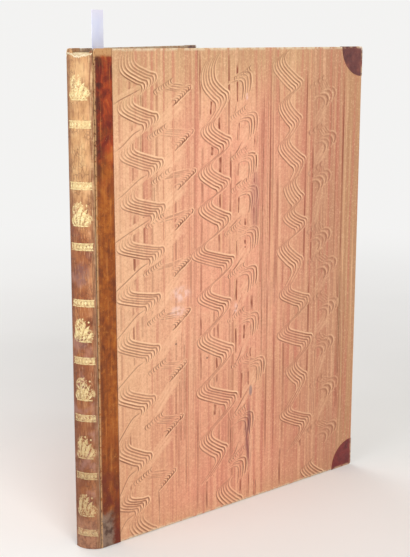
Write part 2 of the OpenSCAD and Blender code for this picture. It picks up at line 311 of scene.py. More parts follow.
# Materials
def paste_paper(side):
    m = surface("paste_paper_" + side, 0.35)
    p = m.board(side)
    x, _, z = m.split(p)
    wide = m.noise(p, 9, 3, 0.55)
    soft = m.noise(p, 38, 4, 0.6)
    # from the yellowed margins to the pink middle
    edge = m.times(m.step(x, 0.026, 0.17, 0.2), m.step(x, 0.424, 0.375))
    edge = m.times(edge, m.step(z, 0.572, 0.475, 0.1))
    edge = m.times(edge, m.step(z, 0.0, 0.03, 0.45))
    edge = m.calc("MULTIPLY", edge, m.step(wide, 0.2, 0.62, 0.6, 1.05), clamp=True)
    m.colour = m.mix(edge, (206, 168, 124), (228, 160, 131))
    m.fade((230, 180, 144), soft, 0.35, 0.75, 0.35)
    bright = m.times(m.step(x, 0.17, 0.06, 0, 0.38), m.step(z, 0.53, 0.45), m.step(z, 0.1, 0.22))
    m.tint((240, 186, 150), bright)
    m.fade((208, 132, 104), z, 0.24, 0.1, 0.32)
    # darker towards the fore-edge and the head: dust, and towards the fore-edge also painted shade where the
    # light falls off
    dust_and_shade = m.most(m.step(x, 0.21, 0.41, 0, 0.6), m.step(z, 0.505, 0.572, 0, 0.36))
    m.tint((160, 114, 78), dust_and_shade)
    tanned = m.times(m.step(x, 0.326, 0.344), m.step(x, 0.398, 0.388))
    m.tint((182, 130, 100), tanned, m.step(z, 0.1, 0.4, 0.25, 0.6))
    m.fade((184, 138, 98), x, 0.388, 0.41, 0.55)
    # brush streaks that run the height of the board, gone where a comb has wiped them
    kept = m.minus(1.0, m.value("wipe"))
    drift = m.times(m.noise(p, 12, 2, drawn=(1, 1, 0.25)), 0.004)
    sx = m.plus(x, drift)
    lines = m.noise(m.join(sx, 0.3, m.times(z, 0.012)), 190, 4, 0.6)
    broad = m.noise(m.join(sx, 0.7, m.times(z, 0.02)), 160, 3, 0.6)
    fade = m.step(m.noise(p, 1.0, drawn=(60, 1, 7)), 0.3, 0.62)
    inside = m.times(m.step(x, 0.026, 0.06, 0.35), kept)
    dark = m.times(m.step(lines, 0.47, 0.33), fade, inside)
    m.tint((160, 98, 76), dark, 0.35)
    striped = m.times(m.step(x, 0.035, 0.06, 0.5), m.calc("MULTIPLY_ADD", kept, 0.5, 0.5))
    m.fade((190, 112, 92), broad, 0.52, 0.36, striped, 0.62)
    m.fade((238, 188, 150), broad, 0.54, 0.66, striped, 0.4)
    mottle = m.noise(p, 420, 4, 0.75)
    m.fade((178, 118, 90), mottle, 0.5, 0.34, 0.4)
    m.fade((246, 206, 168), mottle, 0.52, 0.68, 0.35)
    m.fade((228, 178, 136), lines, 0.54, 0.68, kept, 0.45)
    # what the comb did, from the strips that carry the value: lighter where the comb bared the ground and
    # darker where the paste piled up, partly also a painted highlight on the raised paste and a painted
    # shadow beneath it
    comb = m.value("comb")
    light = m.most(comb, 0.0)
    dark_and_shadow = m.most(m.times(comb, -1.0), 0.0)
    m.tint((246, 203, 162), m.calc("MULTIPLY", light, 0.85, clamp=True))
    m.tint(m.mix(kept, (112, 60, 36), (138, 72, 50)), m.calc("MULTIPLY", dark_and_shadow, 0.92, clamp=True))
    # pale torn fibres along the edges of the side
    rim = m.most(m.step(z, 0.5705, 0.5742), m.step(z, 0.0035, 0.0008))
    rim = m.times(rim, m.step(m.noise(p, 130, 4, 0.7), 0.4, 0.56))
    m.tint((222, 208, 176), rim, 0.75)
    # age: purple and grey smudges, scuffs and specks
    if side == "front":
        ink = m.noise(p, 250, 3, 0.6, drawn=(1, 1, 0.1))
        m.tint((108, 52, 64), m.mark(p, *INK, 0.1), m.step(ink, 0.42, 0.58), 0.75)
        m.tint((150, 84, 88), m.mark(p, *FADED_INK), 0.35)
        m.tint((112, 104, 112), m.mark(p, *GREY_MARK), 0.6)
        patchy = m.step(m.noise(p, 130, 4, 0.65), 0.36, 0.62)
        for scuff in SCUFFS:
            m.tint((240, 206, 196), m.mark(p, *scuff, 0.2), patchy, 0.72)
        for spot in SPOTS:
            m.tint((96, 70, 60), m.mark(p, *spot), 0.7)
    grime = m.step(m.noise(p, 21, 5, 0.65), 0.5, 0.78)
    m.tint((170, 122, 96), grime, 0.22)
    specks = m.step(m.cells(p, 240), 0.1, 0.05)
    m.tint((120, 84, 64), specks, 0.25)
    fibre = m.noise(p, 1500, 3, 0.7)
    height = m.plus(m.times(lines, 0.6), m.times(fibre, 0.25))
    return m.finish(m.step(soft, 0.2, 0.8, 0.5, 0.75), height, 0.0006, 0.5)


def mottled_calf(side):
    m = surface("mottled_calf_" + side, 0.3)
    p = m.board(side)
    x, _, z = m.split(p)
    blot = m.noise(p, 50, 5, 0.62, 0.5, drawn=(1.3, 1, 0.8))
    fine = m.noise(p, 260, 4, 0.68)
    brown = ((0.3, (100, 42, 6)), (0.45, (138, 68, 14)), (0.58, (158, 84, 20)), (0.75, (180, 110, 42)))
    m.colour = m.ramp(blot, *brown)
    grit = m.noise(p, 170, 4, 0.66)
    m.fade((96, 44, 12), grit, 0.48, 0.34, 0.45)
    m.fade((192, 124, 52), grit, 0.54, 0.68, 0.35)
    head = m.times(m.step(z, 0.4, 0.47), m.step(z, 0.571, 0.564))
    red = ((0.3, (66, 16, 6)), (0.46, (112, 30, 10)), (0.6, (160, 62, 20)), (0.76, (200, 116, 50)))
    m.tint(m.ramp(blot, *red), head, m.step(m.noise(p, 30, 2), 0.3, 0.5))
    burnt = m.times(head, m.step(x, 0.017, 0.007), m.step(m.noise(p, 85, 4, 0.6), 0.42, 0.56))
    m.tint((58, 18, 6), burnt, 0.8)
    streak = m.noise(p, 300, 3, 0.6, drawn=(1, 1, 0.05))
    m.fade((92, 42, 18), streak, 0.5, 0.3, 0.5)
    m.fade((206, 136, 66), streak, 0.54, 0.7, 0.35)
    # darker along the joint, worn to tan at the head, grey at the foot
    near = m.times(m.step(x, 0.011, 0.003), m.step(fine, 0.36, 0.56))
    m.tint((86, 40, 22), near, 0.45)
    top = m.times(m.step(m.plus(z, m.times(fine, 0.006)), 0.568, 0.573), m.step(fine, 0.3, 0.46))
    m.tint((190, 146, 100), top, 0.9)
    ragged = m.plus(z, m.times(m.noise(p, 70), 0.05))
    low = m.step(z, 0.2, 0.02)
    m.tint((118, 44, 20), low, m.step(blot, 0.4, 0.6))
    patchy = m.step(m.noise(p, 80, 4, 0.6, drawn=(1, 1, 0.5)), 0.4, 0.56)
    m.fade((88, 28, 16), ragged, 0.13, 0.095, patchy, 0.6)
    if side == "front":
        grey = m.mix(m.step(m.noise(p, 90, 4, 0.6), 0.36, 0.6), (72, 52, 42), (136, 114, 98))
        inner = m.step(m.plus(x, m.times(fine, 0.012)), 0.028, 0.02)
        m.tint(grey, m.step(ragged, 0.078, 0.056), inner, 0.9)
    rub = m.times(m.step(x, 0.004, 0.0012), m.step(fine, 0.36, 0.5))
    m.tint((202, 158, 110), rub, 0.8)
    frayed = m.plus(x, m.times(z, (STRIP_TAIL_END - STRIP_HEAD_END) / BOARD_H))
    frayed = m.plus(frayed, m.times(m.noise(p, 220, drawn=(1, 1, 0.4)), 0.002))
    ragged = m.step(frayed, STRIP_TAIL_END - 0.0005, STRIP_TAIL_END + 0.0005)
    m.tint((104, 62, 40), ragged, 0.5)
    pits = m.step(m.cells(p, 330), 0.18, 0.06)
    m.tint((46, 18, 10), pits, 0.5)
    flecks = m.step(m.cells(m.vec("ADD", p, (0.3, 0.2, 0.1)), 210), 0.1, 0.04)
    m.tint((214, 150, 96), flecks, 0.5)
    grain = m.cells(p, 1500)
    height = m.plus(m.times(grain, 0.35), m.times(fine, 0.8))
    return m.finish(m.step(fine, 0.3, 0.7, 0.34, 0.55), height, 0.0004, 0.5)


def corner_leather(side):
    m = surface("corner_leather_" + side, 0.4)
    p = m.board(side)
    x, _, z = m.split(p)
    blot = m.noise(p, 70, 5, 0.6)
    fine = m.noise(p, 420, 4, 0.65)
    m.colour = m.ramp(blot, (0.3, (74, 34, 34)), (0.5, (104, 54, 50)), (0.68, (132, 74, 62)))
    low = m.step(z, 0.3, 0.2)
    m.tint(m.ramp(blot, (0.3, (84, 24, 26)), (0.55, (122, 42, 40)), (0.7, (140, 56, 46))), low)
    # worn along the edges of the board and at the tip
    tip = m.most(m.step(z, 0.5712, 0.5748), m.step(z, 0.0036, 0.0004))
    tip = m.most(tip, m.step(x, 0.4242, 0.4278))
    rub = m.times(tip, m.step(m.noise(p, 160), 0.4, 0.58))
    m.tint((206, 172, 138), rub, 0.85)
    bare = m.times(m.mark(p, BOARD_W, BOARD_H, 0.009, 0.008, 0.3), tip)
    m.tint((238, 222, 204), bare, 0.9)
    cracks = m.step(m.cells(p, 420, "DISTANCE_TO_EDGE"), 0.06, 0.0)
    m.tint((52, 26, 26), cracks, 0.25)
    height = m.minus(m.times(fine, 0.8), m.times(cracks, 0.6))
    return m.finish(m.step(fine, 0.3, 0.7, 0.4, 0.62), height, 0.0004, 0.5)


def spine_colour(m, p):
    """Colours the spine leather, also where the gilding has gone. Gives its fine noise and its relief."""
    x, y, z = m.split(p)
    blot = m.noise(p, 48, 5, 0.62, 0.4)
    fine = m.noise(p, 330, 4, 0.68)
    streak = m.noise(p, 260, 4, 0.66, drawn=(1, 1, 0.09))
    tan = m.ramp(blot, (0.3, (160, 112, 70)), (0.5, (196, 148, 100)), (0.68, (214, 174, 124)))
    brown = m.ramp(blot, (0.3, (108, 54, 28)), (0.5, (148, 84, 44)), (0.7, (176, 112, 62)))
    upper = m.step(m.plus(z, m.times(blot, 0.05)), 0.395, 0.455)
    m.colour = m.mix(upper, brown, tan)
    m.fade((104, 54, 34), streak, 0.48, 0.3, 0.6)
    m.fade((222, 170, 118), streak, 0.56, 0.72, 0.5)
    fibres = m.noise(p, 640, 3, 0.62, drawn=(1, 1, 0.14))
    m.fade((112, 60, 42), fibres, 0.48, 0.34, 0.38)
    m.fade((232, 184, 138), fibres, 0.54, 0.68, 0.32)
    lit = m.times(m.step(y, -0.005, -0.0095), m.step(blot, 0.42, 0.58))
    m.tint((212, 156, 112), lit, 0.35)
    m.fade((112, 62, 34), z, 0.26, 0.12, 0.42)
    # painted shade: darker towards the back joint, where the rounded spine turns from the light
    side = m.step(y, 0.0075, 0.0145)
    m.tint((112, 62, 42), side, 0.55)
    lilac = m.times(m.step(m.noise(p, 34, 3, 0.6), 0.5, 0.66), m.step(z, 0.4, 0.33))
    m.tint((166, 124, 112), lilac, 0.5)
    head = m.step(z, 0.33, 0.43, 0.3)
    near = m.times(m.step(y, -0.0118, -0.0145), m.step(fine, 0.34, 0.5), head)
    m.tint((218, 186, 146), near, 0.7)
    tail = m.times(m.step(z, 0.046, 0.026), m.step(fine, 0.34, 0.52, 0.35))
    m.tint((182, 134, 104), tail, 0.55)
    dirty = m.times(m.step(z, 0.05, 0.02), m.step(m.noise(p, 150, 4, 0.65), 0.56, 0.42))
    m.tint((106, 66, 50), dirty, 0.55)
    stain = m.times(m.spot(p, *STAIN), m.step(fine, 0.3, 0.55))
    m.tint((112, 84, 88), stain, 0.45)
    cracks = m.step(m.cells(m.vec("MULTIPLY", p, (1, 1, 0.5)), 300, "DISTANCE_TO_EDGE"), 0.07, 0.0)
    cracks = m.times(cracks, m.step(m.noise(p, 60, 2), 0.42, 0.6))
    m.tint((78, 40, 26), cracks, 0.5)
    height = m.minus(m.plus(m.times(fine, 0.8), m.times(streak, 0.5)), cracks)
    # beside the front joint the leather is worn to a lighter tone, and its ridges and hollows are drawn in
    # colour: painted highlights on the ridges and painted shade in the hollows
    joint = m.step(y, -0.0105, -0.0122)
    m.tint(m.mix(head, (124, 88, 66), (140, 88, 50)), joint, 0.5)
    groove = m.noise(m.join(y, x, m.times(z, 0.03)), 1500, 2, 0.6)
    wavy = m.noise(m.join(0.2, 0.4, z), 45, 4, 0.7)
    line = m.plus(groove, m.times(m.minus(wavy, 0.5), 0.7))
    m.tint((128, 78, 46), joint, m.step(line, 0.52, 0.4))
    shine = m.times(joint, m.step(line, 0.54, 0.66), head, 0.8)
    m.tint((226, 190, 140), shine)
    return fine, height


def tooling(m, p):
    """1 where the small tools of the bands and fleurons were pressed, too fine to stand apart."""
    _, y, z = m.split(p)
    bands = 0.0
    for at in BAND_HEIGHTS:
        bands = m.most(bands, m.step(m.size(m.minus(z, at * MM)), 0.004, 0.0034))
    bands = m.times(bands, m.step(m.size(y), 0.013, 0.0122))
    bunches = 0.0
    for at in FLEURON_HEIGHTS:
        foot = m.spot(p, (-0.003, -0.0012, (at - 6) * MM), (0.1, 0.0126, 0.0092), 0.8)
        scroll = m.spot(p, (-0.003, 0.0035, (at + 4) * MM), (0.1, 0.008, 0.01), 0.8)
        bunches = m.most(bunches, m.most(foot, scroll))
    dots = m.step(m.cells(p, 430), 0.6, 0.36)
    worn = m.step(m.noise(p, 330, 4, 0.6), 0.32, 0.56, 0.45, 0.9)
    scrolls = m.step(m.size(m.minus(m.noise(p, 210, 2, 0.5), 0.5)), 0.06, 0.02)
    small = m.times(m.most(dots, scrolls), bunches)
    return m.most(small, m.times(bands, worn))


def spine_calf():
    m = surface("spine_calf", 0.4)
    p = m.place()
    fine, height = spine_colour(m, p)
    tooled = m.times(tooling(m, p), m.step(fine, 0.34, 0.5, 0.25))
    worn = m.step(m.split(p)[2], 0.01, 0.34, 0.42, 0.82)
    m.tint((228, 206, 150), tooled, worn)
    return m.finish(m.step(fine, 0.3, 0.7, 0.38, 0.62), height, 0.0005, 0.6)


def gilding():
    m = surface("gilding", 0.6)
    p = m.place()
    _, height = spine_colour(m, p)
    z = m.split(p)[2]
    worn = m.noise(p, 420, 4, 0.7)
    gone = m.noise(p, 60, 3, 0.6)
    keep = m.step(m.plus(m.times(worn, 0.55), m.times(gone, 0.45)), 0.4, 0.5)
    keep = m.times(keep, m.step(z, 0.03, 0.34, 0.5))
    gold = m.ramp(worn, (0.3, (196, 162, 100)), (0.48, (226, 202, 142)), (0.68, (242, 228, 180)))
    m.put(m.shader.inputs["Metallic"], m.times(keep, 0.14))
    m.tint(gold, keep)
    return m.finish(m.step(worn, 0.3, 0.7, 0.28, 0.5), height, 0.0003, 0.5)


def pages():
    m = surface("page_paper", 0.2)
    p = m.place()
    x, y, z = m.split(p)
    n = m.node("ShaderNodeTexCoord").outputs["Normal"]
    _, ny, nz = m.split(n)
    flat = m.step(m.size(ny), 0.6, 0.9)
    leaves = m.noise(m.join(m.times(x, 0.02), y, m.times(z, 0.02)), 2600, 3, 0.7)
    groups = m.noise(m.join(m.times(x, 0.03), y, m.times(z, 0.03)), 520, 2, 0.6)
    dirt = m.noise(p, 14, 5, 0.65)
    m.colour = m.ramp(leaves, (0.3, (138, 112, 84)), (0.5, (190, 162, 122)), (0.7, (218, 194, 154)))
    m.fade((120, 92, 66), groups, 0.52, 0.36, 0.5)
    top = m.step(nz, 0.5, 0.9)
    m.tint((92, 76, 60), top, m.step(dirt, 0.2, 0.6, 0.55, 0.9))
    cut = m.colour
    m.colour = m.ramp(dirt, (0.3, (222, 204, 168)), (0.55, (230, 214, 182)), (0.75, (208, 184, 144)))
    rim = m.most(m.step(x, 0.385, 0.424), m.most(m.step(z, 0.535, 0.571), m.step(z, 0.04, 0.004)))
    m.tint((184, 150, 108), rim, 0.5)
    fox = m.step(m.cells(p, 46), 0.16, 0.04)
    m.tint((176, 124, 80), fox, 0.35)
    m.colour = m.mix(flat, cut, m.colour)
    height = m.times(leaves, m.step(flat, 0.5, 0.0))
    return m.finish(0.82, m.plus(height, m.times(m.noise(p, 900), 0.15)), 0.0005, 0.6)


def paper(name, dark, mid, light, side=None, scale=18):
    m = surface(name, 0.2)
    p = m.board(side) if side else m.place()
    dirt = m.noise(p, scale, 5, 0.65)
    fibre = m.noise(p, 900, 4, 0.7, drawn=(1, 1, 3))
    m.colour = m.ramp(dirt, (0.3, light), (0.52, mid), (0.75, dark))
    m.tint(dark, m.step(fibre, 0.5, 0.3), 0.2)
    fox = m.step(m.cells(p, 52), 0.15, 0.03)
    m.tint((170, 118, 76), fox, 0.3)
    return m.finish(0.82, fibre, 0.0003, 0.4)


def threads(name, dark, light, size):
    m = surface(name, 0.2)
    p = m.place()
    _, y, z = m.split(p)
    turn = m.calc("SINE", m.times(m.plus(y, m.times(z, 0.5)), 2 * math.pi / size))
    twist = m.plus(m.times(turn, 0.35), m.noise(p, 900))
    m.colour = m.ramp(twist, (0.2, dark), (0.8, light))
    return m.finish(0.8, turn, 0.0004, 0.7)


def ridge_leather():
    m = surface("joint_ridge", 0.3)
    p = m.place()
    fine = m.noise(p, 240, 4, 0.7, drawn=(1, 1, 0.5))
    blot = m.noise(p, 60, 3, 0.6)
    m.colour = m.ramp(fine, (0.3, (120, 74, 46)), (0.48, (184, 138, 94)), (0.66, (222, 184, 138)))
    m.fade((112, 62, 38), blot, 0.52, 0.36, 0.6)
    z = m.split(p)[2]
    m.tint(m.mix(fine, (84, 62, 50), (160, 130, 108)), m.step(z, 0.44, 0.33, 0, 0.75))
    return m.finish(0.55, fine, 0.0004, 0.6)


def slip_paper():
    m = surface("slip_paper", 0.25)
    p = m.place()
    z = m.split(p)[2]
    fibre = m.noise(p, 700, 4, 0.7)
    m.colour = m.ramp(m.noise(p, 40), (0.3, (216, 222, 250)), (0.7, (232, 236, 254)))
    edge = m.step(z, 0.6, 0.618)
    m.tint((240, 228, 240), edge, 0.35)
    return m.finish(0.7, fibre, 0.0002, 0.3)


MATERIALS = {
    "spine_calf": spine_calf(),
    "gilding": gilding(),
    "pages": pages(),
    "tube": paper("spine_paper", (158, 132, 98), (204, 184, 148), (224, 208, 178), None, 120),
    "cords": threads("hemp", (120, 92, 60), (190, 164, 124), 0.0024),
    "band": threads("band_thread", (86, 52, 36), (176, 142, 104), 0.0018),
    "slip": slip_paper(),
    "hinge": paper("hinge_paper", (186, 158, 118), (210, 188, 150), (222, 204, 170)),
    "ridge": ridge_leather(),
    "fray": paper("torn_fibres", (176, 146, 104), (222, 204, 170), (238, 228, 204), None, 160),
}
COVER_PAPERS = (
    ("pastedown_", "pastedown_", ((204, 178, 138), (220, 201, 166), (229, 213, 182)), 18),
    ("pasteboard_", "board_", ((110, 88, 64), (140, 116, 88), (164, 142, 112)), 60),
)
for side in COVERS:
    MATERIALS["paste_" + side] = paste_paper(side)
    MATERIALS["strip_" + side] = mottled_calf(side)
    MATERIALS["corner_" + side] = corner_leather(side)
    for name, key, tones, scale in COVER_PAPERS:
        MATERIALS[key + side] = paper(name + side, *tones, side, scale)

# Which node is made of what
GIVEN = {
    "text_block": "pages", "sewing_cords": "cords", "hollow_tube": "tube", "tail_band": "band",
    "spine_leather": "spine_calf", "spine_bands": "gilding", "spine_fleurons": "gilding",
    "marker_slip": "slip",
}
COVER_GIVEN = {
    "board": "board_", "strip": "strip_", "paper": "paste_", "head_corner": "corner_",
    "tail_corner": "corner_", "pastedown": "pastedown_", "waves": "paste_", "streaks": "paste_",
}
for side in COVERS:
    for part, key in COVER_GIVEN.items():
        GIVEN[side + "_" + part] = key + side
for name, key in GIVEN.items():
    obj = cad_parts[name]
    obj.data.materials.clear()
    obj.data.materials.append(MATERIALS[key])


# What the comb drew
# Each wave of a column, for its lowest tooth, in mm: the corner at the left and the end at the right, from
# the joint and under the head. Last, how tall its left side is.
WAVES = [
    [(35, 26, 65, 41, 1.6), (33, 70, 67, 85, 0.9), (34, 122, 74, 137, 0.9), (35, 176, 77, 189, 0.9),
     (29, 226, 75, 239, 0.9), (27, 283, 69, 294, 0.9), (26, 340, 68, 356, 1.0), (24, 401, 61, 417, 0.9),
     (22, 468, 55, 487, 1.0), (24, 534, 50, 542, 0.8), (43, 566, 62, 584, 0.9)],
    [(153, 45, 174, 64, 2.3), (153, 102, 179, 118, 1.0), (150, 151, 177, 167, 1.0),
     (150, 194, 179, 210, 0.9), (139, 247, 185, 263, 0.8), (148, 301, 180, 316, 0.9),
     (148, 356, 185, 376, 1.0), (147, 420, 192, 439, 1.0), (151, 486, 176, 505, 1.1),
     (180, 560, 202, 582, 1.2)],
    [(268, 28, 298, 53, 1.2), (278, 78, 297, 98, 1.0), (279, 128, 305, 150, 1.0), (290, 180, 303, 197, 0.9),
     (289, 216, 310, 229, 0.7), (280, 258, 304, 279, 0.8), (285, 316, 318, 331, 0.9),
     (283, 369, 325, 386, 0.8), (299, 421, 316, 437, 0.9), (289, 480, 325, 497, 0.8),
     (330, 565, 352, 584, 0.6)],
]
# The finer comb beside each column: left turn of its lowest tooth and right turn of its highest.
HOOKS = [
    [(83, 49, 137, 43), (74, 100, 140, 94), (79, 151, 144, 140), (71, 201, 140, 187), (67, 257, 136, 244),
     (72, 316, 136, 307), (73, 376, 130, 370), (67, 442, 124, 437), (50, 508, 113, 504)],
    [(205, 37, 230, 32), (197, 84, 241, 80), (200, 132, 241, 129), (201, 171, 243, 170),
     (191, 223, 245, 221), (197, 276, 243, 270), (197, 333, 247, 331), (204, 393, 258, 391),
     (201, 461, 240, 460), (200, 516, 228, 519)],
    [(334, 50, 377, 54), (334, 108, 380, 111), (334, 160, 371, 160), (334, 236, 374, 237),
     (336, 276, 386, 277), (340, 330, 391, 333), (340, 386, 384, 384), (345, 446, 395, 444),
     (342, 507, 395, 507)],
]


def mm(x, y):
    """A place on a cover, given in mm."""
    return Vector((x, y)) * MM


def wobble(rng, reach):
    """A small random shift of up to reach mm each way."""
    return mm(rng.uniform(-reach, reach), rng.uniform(-reach, reach))


# The combs: how many teeth, and the way from one tooth to the next at the left and at the right
TEETH = 6
STEP_LEFT = mm(4.0, -1.75)
STEP_RIGHT = mm(4.1, -2.35)
FINE_TEETH = 8
FINE_LEFT = mm(3.5, -1.7)
FINE_RIGHT = (mm(3.2, -2.3), mm(2.1, -1.6), mm(3.2, -2.0))
# Strokes end short of the board's edges and of the leather strip
RIM = 0.8 * MM
STRIP_GAP = 0.6 * MM
# Points of a path nearer to the head or the tail than this are left out
EDGE = 0.9 * MM

# Control points of one tooth about the corner at its left and about its right end, in mm. In the first
# column a tooth stops at the right; in the others it comes back to the next wave.
BEND = ((5.0, -18.0), (1.2, -12.5), (-0.8, -6.5), (0.3, -1.0))
STOP = ((-0.4, -1.4), (1.5, 1.6), (1.5, 5.4), (-1.0, 9.0), (-3.4, 11.0))
CURVED = ((10.0, -14.5), (3.4, -11.0), (-0.9, -6.0), (0.3, -0.6))
# The same for the finer comb: short ticks at the left, and hooks at the right, each column with its own
FINE_BEND = ((5.6, -4.6), (1.6, -3.4), (-0.5, -0.4), (1.8, 2.4), (7.0, 3.2))
FINE_HOOKS = (
    ((-14, 1.0), (-5.0, -1.4), (0.9, -1.2), (0.9, 2.6), (-2.0, 5.4), (-6.5, 8.0)),
    ((-32, 5.0), (-20, -1.0), (-8.0, -4.4), (0.4, -2.4), (1.8, 5.0), (1.6, 11), (0.6, 17), (-1.5, 24)),
    ((-26, 3.0), (-14, -3.0), (-3.0, -3.4), (2.6, 2.0), (1.0, 9.0), (-5.0, 15)),
)


def around(at, points):
    """Points given in mm about a place."""
    return [at + mm(*p) for p in points]


def wave_path(corner, end, tall, after):
    """One tooth through one wave: down its left side, round the corner, along the run and over at the end.
    after: where the same tooth begins the next wave, or None if it stops here."""
    run = (end - corner).length
    along = (end - corner).normalized()
    sag = Vector((-along.y, along.x)) * 0.6 * MM
    reach = min(7 * MM, 0.25 * run)
    bend = BEND if after is None else CURVED
    path = [corner + mm(dx * (min(tall, 1.2) if dz < -10 else 1), dz * tall) for dx, dz in bend]
    path += [corner + along * reach + sag, (corner + end) / 2 + sag, end - along * reach + sag]
    if after is None:
        return path + around(end, STOP)
    gap = min(1.0, max(0.3, (after.y - end.y) / (24 * MM)))
    path += around(end, ((0.2, -0.8), (1.8, 4.5 * gap), (1.0, 9.5 * gap)))
    low = end + mm(-2.5, 14 * gap)
    return path + [low.lerp(after, 0.5), after, after + mm(-5, 3)]


class Strips:
    """Collects narrow strips laid on a cover, each with its comb value."""

    def __init__(self, side):
        self.side = side
        self.verts, self.faces, self.values = [], [], []

    def lay(self, line, profile, strength, height, width=None):
        """line: points from the joint and under the head. height: over the paper, in mm."""
        count = len(line)
        if count < 3:
            return
        start = len(self.verts)
        place = front if self.side == "front" else back
        for i, p in enumerate(line):
            d = line[min(i + 1, count - 1)] - line[max(i - 1, 0)]
            if d.length < 1e-9:
                d = Vector((1, 0))
            d.normalize()
            across = Vector((d.y, -d.x))
            s = strength[i]
            w = width[i] if width else 1.0
            for offset, value, rise in profile:
                q = p + across * offset * w * MM
                lift = (height + rise * min(1.0, s)) * MM
                z = min(max(BOARD_H - q.y, RIM), BOARD_H - RIM)
                x = min(max(q.x, strip_end(z) + STRIP_GAP), BOARD_W - RIM)
                self.verts.append(place(x, -(PAPER_OUT + lift), z))
                self.values.append(value * s)
        self.faces += grid_faces(count, len(profile), start, flip=self.side == "back")

    def trace(self, line, profile, strength, height, width):
        """Lays the part of a path that is on the board."""
        kept = [i for i, p in enumerate(line) if EDGE < p.y < BOARD_H - EDGE]
        if kept:
            part = slice(kept[0], kept[-1] + 1)
            self.lay(line[part], profile, strength[part], height, width[part])

    def build(self, name, wiped=1.0):
        """Makes one piece of all the strips. wiped: whether the comb took the brush streaks away."""
        material = MATERIALS["paste_" + self.side]
        obj = make(name, self.verts, self.faces, material, self.side + "_cover", values=self.values)
        wipe = obj.data.attributes.new("wipe", "FLOAT", "POINT")
        wipe.data.foreach_set("value", [wiped] * len(self.verts))
        return obj


# Across a stroke, from its lower left edge to its upper right one: offset in mm, comb value, rise in mm.
TOOTH = [(-2.4, 0.1, 0), (-1.8, 0, 0.03), (-1.3, -1, 0.12), (-0.1, -1, 0.11), (0.4, 0.6, 0.03),
         (1.0, 1.3, 0.01), (1.7, 0.9, 0.01), (2.4, 0.1, 0)]
FINE = [(-1.6, 0.1, 0), (-1.2, -1, 0.08), (-0.1, -1, 0.07), (0.3, 0.8, 0.03), (0.9, 1, 0.02), (1.6, 0.2, 0)]
SOFT = [(-3.2, 0, 0), (-2.0, -0.6, 0.03), (-0.4, -0.9, 0.03), (1.0, 0.5, 0), (2.4, 0.7, 0), (3.6, 0, 0)]
LINE = [(-1.4, 0.3, 0), (-0.7, -0.9, 0.05), (0.2, -0.8, 0.05), (0.8, 0.8, 0), (1.7, 0, 0)]
BRUSH = [(-4.0, 0, 0), (-2.4, 0.25, 0), (-1.4, -0.6, 0.02), (-0.4, -1, 0.04), (0.6, -0.95, 0.04),
         (1.5, -0.4, 0.02), (2.6, 0.3, 0), (4.0, 0, 0)]
BAND = [(-5.5, 0, 0), (-4.0, 0.35, 0), (-1.5, 0.1, 0.02), (1.2, 0.5, 0.02), (3.8, 0.2, 0), (5.5, 0, 0)]
# Heights over the paper at which the strokes lie, in mm, so that none lies in another
BRUSH_LIFT, BAND_LIFT, THIN_LIFT, FINE_LIFT, LINE_LIFT, TOOTH_LIFT = 0.03, 0.06, 0.07, 0.08, 0.12, 0.13
TOOTH_STACK, FINE_STACK = 0.005, 0.004


def smooth(v, low, high):
    """0 at low, 1 at high, smooth between them."""
    t = min(1.0, max(0.0, (v - low) / (high - low)))
    return t * t * (3 - 2 * t)


def stroke(t, tooth, curved):
    """How strong and how wide a tooth's line is, at a share t of its length."""
    if curved:
        # every second tooth can be followed back, the others fade
        t = t * 1.4
        lasting = tooth % 2 == 0
        fading = 1.0 - (0.2 if lasting else 1.0) * smooth(t, 0.84, 1.0)
        rim = max(0.0, min(1.0, 0.3 + 2.4 * t, fading, 0.35 + 1.4 * (1.4 - t)))
        wide = min(1.0, 0.6 + 1.6 * t) - (0.15 if lasting else 0.7) * smooth(t, 0.86, 1.0)
    else:
        rim = min(1.0, 3.2 * t, 4.5 * (1 - t))
        wide = 0.35 + 0.65 * rim
    bold = 0.74 + 0.3 * smooth(t, 0.62, 0.84) * (t < 1) + 0.2 * (tooth < 2) * smooth(abs(t - 0.42), 0.16, 0.0)
    return rim * bold, wide


def swell(line, most, rise, fall, force):
    """How strong a line is at each point: it swells from its start and dies away at its end."""
    n = len(line)
    return [most * min(1.0, rise * k / n, fall * (1 - k / n)) * force(p, 0) for k, p in enumerate(line)]


def comb(strips, turns, rng, force, curved):
    """Six teeth side by side through each wave, and what they leave between one wave and the next."""
    for i, (corner, end, tall) in enumerate(turns):
        following, rise = end + mm(-30, 44), 1.0
        if i + 1 < len(turns) and turns[i + 1][0].x < corner.x + 17 * MM:
            following, _, rise = turns[i + 1]
        after = None
        for tooth in range(TEETH):
            shift = wobble(rng, 0.3)
            if curved:
                dx, dz = CURVED[0]
                after = following + STEP_LEFT * tooth + mm(dx * min(rise, 1.2), dz * rise)
            left, right = corner + STEP_LEFT * tooth + shift, end + STEP_RIGHT * tooth + shift
            line = spline(wave_path(left, right, tall, after), 6)
            faded = rng.uniform(0.85, 1.0)
            strength, width = [], []
            for k, p in enumerate(line):
                bold, wide = stroke(k / (len(line) - 1), tooth, curved)
                strength.append(bold * faded * force(p, tooth))
                width.append(wide)
            strips.trace(line, TOOTH, strength, TOOTH_LIFT + tooth * TOOTH_STACK, width)
        if not curved and i + 1 < len(turns):
            back_line = around(end, ((0.5, 1.5), (-1.5, 4.5), (-7.0, 6.5), (-14, 9.5)))
            back_line += around(following, ((4.0, -14.5), (-3.0, -11.0), (-10, -7.0)))
            line = spline(back_line, 5)
            strength = swell(line, 0.75, 3.0, 4.0, force)
            even = [1.0] * len(line)
            swept = [p + STEP_RIGHT * 1.6 for p in line]
            strips.trace(swept, BAND, [0.7 * v for v in strength], BAND_LIFT, even)
            strips.trace(line, LINE, strength, LINE_LIFT, even)


THIN_STEPS = 14


